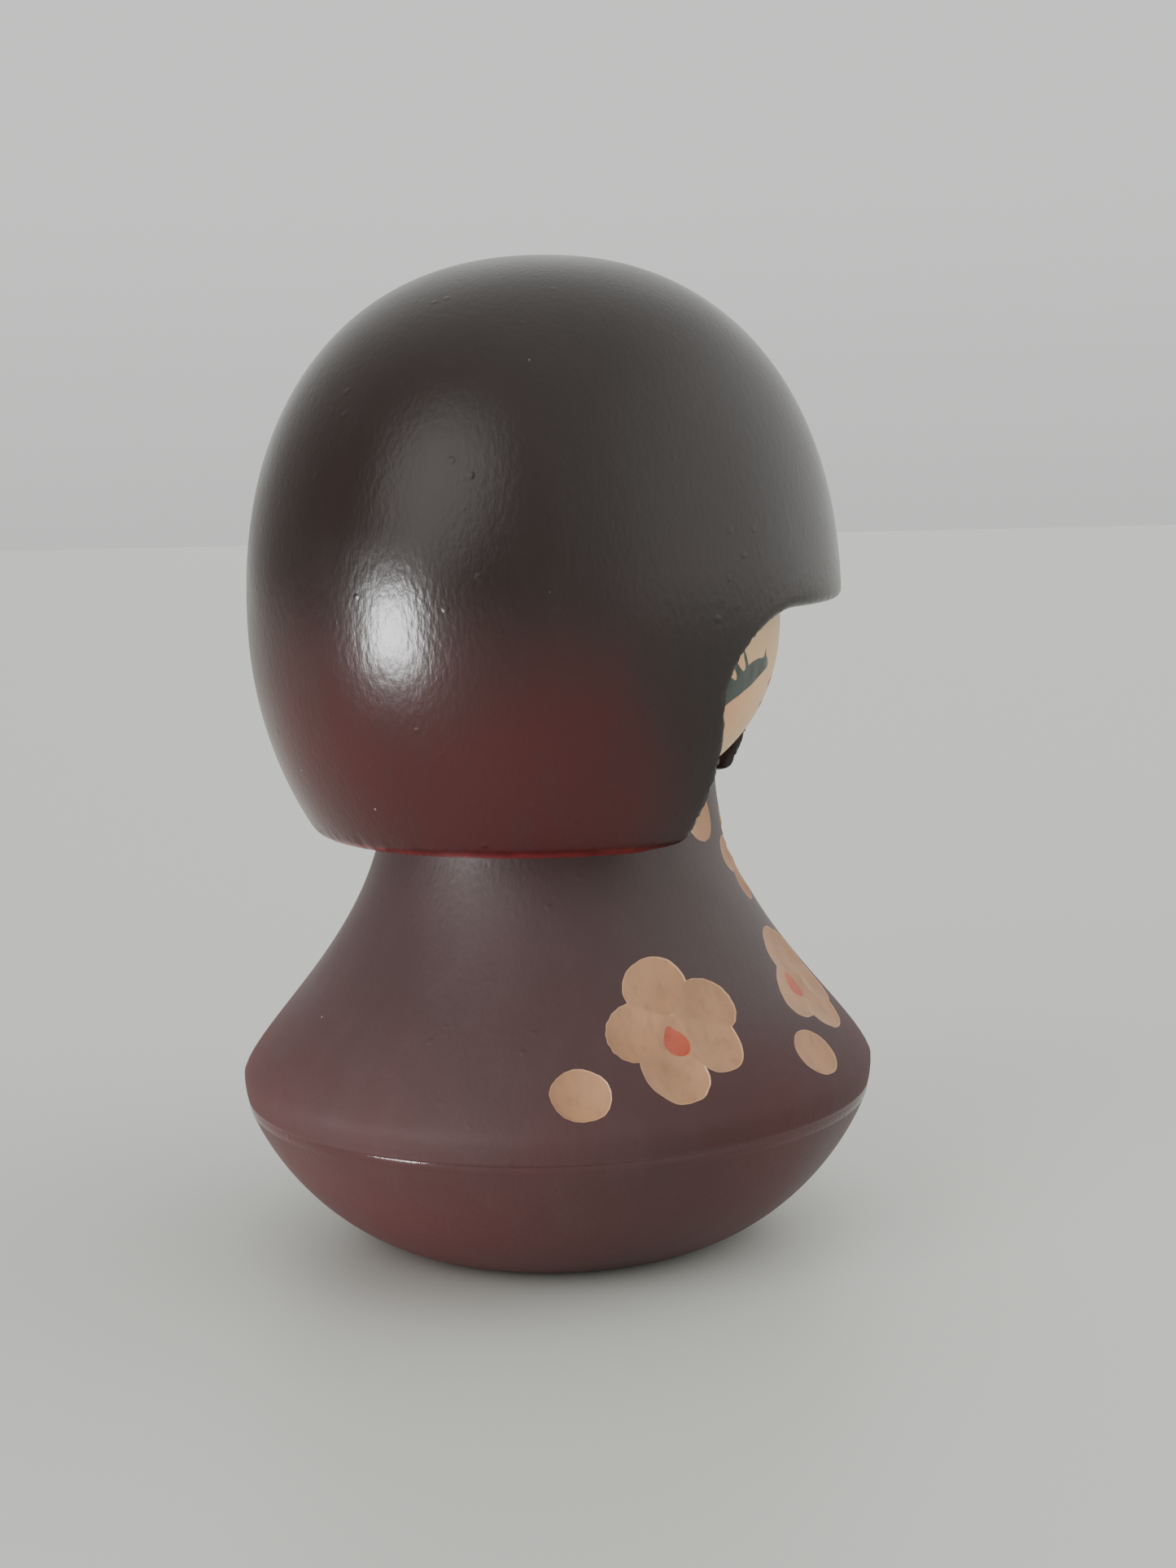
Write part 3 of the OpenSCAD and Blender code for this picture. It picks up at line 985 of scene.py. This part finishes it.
centre_paint = paint("centre_paint", (0.46, 0.078, 0.033), (0.36, 0.054, 0.023), 0.5)
eye_paint = paint("eye_paint", (0.036, 0.049, 0.040), (0.020, 0.028, 0.024), 0.4)
nose_paint = paint("nose_paint", (0.48, 0.13, 0.10), (0.40, 0.10, 0.08), 0.5)
mouth_paint = paint("mouth_paint", (0.30, 0.04, 0.03), (0.22, 0.03, 0.02), 0.45)


def dress(mesh, *materials):
    for material in materials:
        mesh.materials.append(material)
    return mesh


body_mesh = dress(make_body(), body_lacquer, petal_edge, petal_wood, centre_paint)
head_mesh = dress(make_ball(), face_wood, eye_paint, nose_paint, mouth_paint)
hair_mesh = dress(make_hair(), hair_lacquer)
doll = [
    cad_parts["neck_dowel"],
    add_object("carved_body", body_mesh, "body", "body"),
    add_object("painted_head", head_mesh, "head", "head_ball"),
    add_object("hair", hair_mesh, "head", "hair_cap"),
]
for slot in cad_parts["neck_dowel"].material_slots:
    slot.material = dowel_wood

# ---------------------------------------------------------------- room

floor_mesh = bpy.data.meshes.new("floor")
floor_mesh.from_pydata([(-2, -2, 0), (2, -2, 0), (2, 2, 0), (-2, 2, 0)], [], [(0, 1, 2, 3)])
floor = bpy.data.objects.new("floor", floor_mesh)
bpy.context.scene.collection.objects.link(floor)
pale = bpy.data.materials.new("pale_floor")
pale.use_nodes = True
pale_shader = next(n for n in pale.node_tree.nodes if n.type == "BSDF_PRINCIPLED")
pale_shader.inputs["Base Color"].default_value = (0.73, 0.74, 0.70, 1)
pale_shader.inputs["Roughness"].default_value = 0.45
floor_mesh.materials.append(pale)

WALL_LIGHT = 1.08
ROOM_LIGHT = 0.23
# Soft bright patches: degrees from the camera's azimuth, elevation, cosine at the edge, strength.
GLOWS = [(-44, 29, 0.86, 2.2), (82, 8, 0.45, 0.75)]
SEEN_LIGHT = (0.72, 0.88)  # at the floor's far edge and higher up


def make_world():
    """Soft light from pale walls, darker towards the open side that the camera stands on."""
    world = bpy.data.worlds.new("world")
    world.use_nodes = True
    tree = world.node_tree

    def add(kind, **inputs):
        node = tree.nodes.new(kind)
        for key, value in inputs.items():
            socket = node.inputs[key.replace("_", " ")]
            if isinstance(value, bpy.types.NodeSocket):
                tree.links.new(value, socket)
            else:
                socket.default_value = value
        return node

    def ramp(value, low, high, to_low, to_high):
        ends = {"From_Min": low, "From_Max": high, "To_Min": to_low, "To_Max": to_high}
        node = add("ShaderNodeMapRange", Value=value, **ends)
        node.interpolation_type = "SMOOTHSTEP"
        return node.outputs["Result"]

    place = add("ShaderNodeTexCoord").outputs["Generated"]
    azimuth = math.radians(CAMERA_AZIMUTH - 70)
    across = add("ShaderNodeVectorMath")
    across.operation = "DOT_PRODUCT"
    across.inputs[1].default_value = (math.sin(azimuth), -math.cos(azimuth), -0.35)
    tree.links.new(place, across.inputs[0])
    lit = ramp(across.outputs["Value"], -0.5, 0.8, WALL_LIGHT, ROOM_LIGHT)
    for side, elevation, edge, strength in GLOWS:
        azimuth, rise = math.radians(CAMERA_AZIMUTH + side), math.radians(elevation)
        glow = add("ShaderNodeVectorMath")
        glow.operation = "DOT_PRODUCT"
        glow.inputs[1].default_value = (
            math.sin(azimuth) * math.cos(rise),
            -math.cos(azimuth) * math.cos(rise),
            math.sin(rise),
        )
        tree.links.new(place, glow.inputs[0])
        total = add("ShaderNodeMath", Value=lit)
        tree.links.new(ramp(glow.outputs["Value"], edge, 1.0, 0, strength), total.inputs[1])
        lit = total.outputs["Value"]
    up = add("ShaderNodeSeparateXYZ", Vector=place).outputs["Z"]
    seen = ramp(up, -0.06, 0.12, *SEEN_LIGHT)
    level = add("ShaderNodeMix", Factor=add("ShaderNodeLightPath").outputs["Is Camera Ray"], A=lit, B=seen)
    backdrop = tree.nodes["Background"]
    backdrop.inputs["Color"].default_value = (0.98, 1.0, 0.97, 1)
    tree.links.new(level.outputs["Result"], backdrop.inputs["Strength"])
    bpy.context.scene.world = world


make_world()


def area_light(name, azimuth, distance, height, size, power, tint):
    """A soft light facing the doll, which alone it lights, so that it makes no pool on the floor.

    Azimuth is counted as the camera's is.
    """
    a = math.radians(azimuth)
    place = Vector((math.sin(a) * distance, -math.cos(a) * distance, height))
    data = bpy.data.lights.new(name, "AREA")
    data.shape = "RECTANGLE"
    data.size, data.size_y = size
    data.energy = power
    data.color = tint
    light = bpy.data.objects.new(name, data)
    light.location = place
    target = Vector((0, 0, min(height, HEAD_Z * MM)))
    light.rotation_euler = (place - target).to_track_quat("Z", "Y").to_euler()
    light.visible_camera = False
    bpy.context.scene.collection.objects.link(light)
    receivers = bpy.data.collections.new(name + "_receivers")
    for piece in doll:
        receivers.objects.link(piece)
    light.light_linking.receiver_collection = receivers


area_light("window", CAMERA_AZIMUTH - 56, 0.30, 0.040, (0.090, 0.062), 0.95, (0.98, 1, 1))
